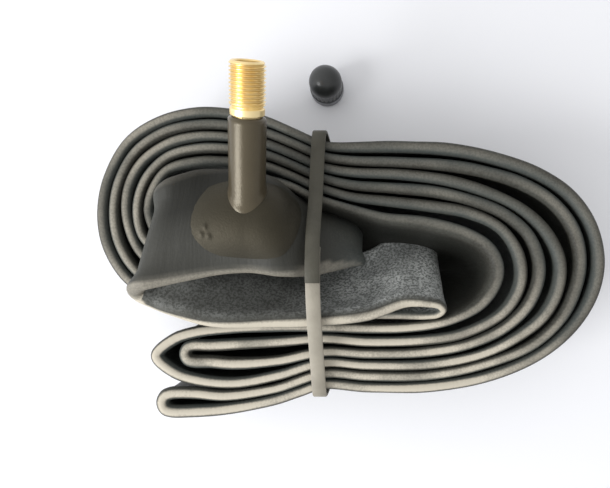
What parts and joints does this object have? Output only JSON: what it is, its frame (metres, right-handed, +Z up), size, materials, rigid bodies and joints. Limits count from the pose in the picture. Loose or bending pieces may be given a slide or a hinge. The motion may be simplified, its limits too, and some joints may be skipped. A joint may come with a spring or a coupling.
{
  "type": "bicycle inner tube",
  "caption": "Flattened rubber bicycle inner tube wound on edge into an oval strapped bundle, with a rubber-covered threaded valve, screw-in core and loose dust cap.",
  "frame": {"origin": "middle of the box under the bundle and its cap, on the surface they stand on", "axes": "+Z up, +X along the bundle's longer side, +Y the way the valve points"},
  "size_m": [0.1245, 0.0931, 0.0517],
  "materials": {
    "tube": "matte butyl rubber, talc-dusted folds",
    "cover": "satin moulded rubber",
    "strap": "satin elastic strap",
    "brass": "turned, bright",
    "steel": "bright wire",
    "seal": "matte",
    "cap": "satin moulded plastic"
  },
  "bodies": {
    "bundle": {"tube": "tube", "strap": "strap", "valve_cover": "cover", "brass_stem": "brass"},
    "core": {"core_barrel": "brass", "core_gasket": "seal", "core_spring": "steel", "spring_seat": "brass"},
    "plug": {"core_plug": "brass"},
    "pin": {"core_pin": "brass", "pin_cup": "brass", "pin_seal": "seal"},
    "cap": {"valve_cap": "cap"}
  },
  "joints": [
    {"name": "core_out", "type": "slide", "parent": "bundle", "child": "core", "axis": [0.0923, 0.9032, 0.4192], "range_m": [0, 0.0045]},
    {"name": "core_screw", "type": "hinge", "parent": "core", "child": "plug", "pos_m": [-0.02068, 0.02962, 0.04698], "axis": [0.0923, 0.9032, 0.4192], "range_deg": [0, 2300]},
    {"name": "pin_press", "type": "slide", "parent": "core", "child": "pin", "axis": [-0.0923, -0.9032, -0.4192], "range_m": [0, 0.0016], "stiffness_N_per_m": 500, "springref_m": -0.002, "deforming": ["core_spring"]},
    {"name": "cap_lift", "type": "slide", "parent": "bundle", "child": "cap", "axis": [0, 0, 1], "range_m": [0, 0.06]}
  ],
  "couplings": [
    {"joint": "core_screw", "follows": "core_out", "rad_per_m": 8905.2}
  ]
}
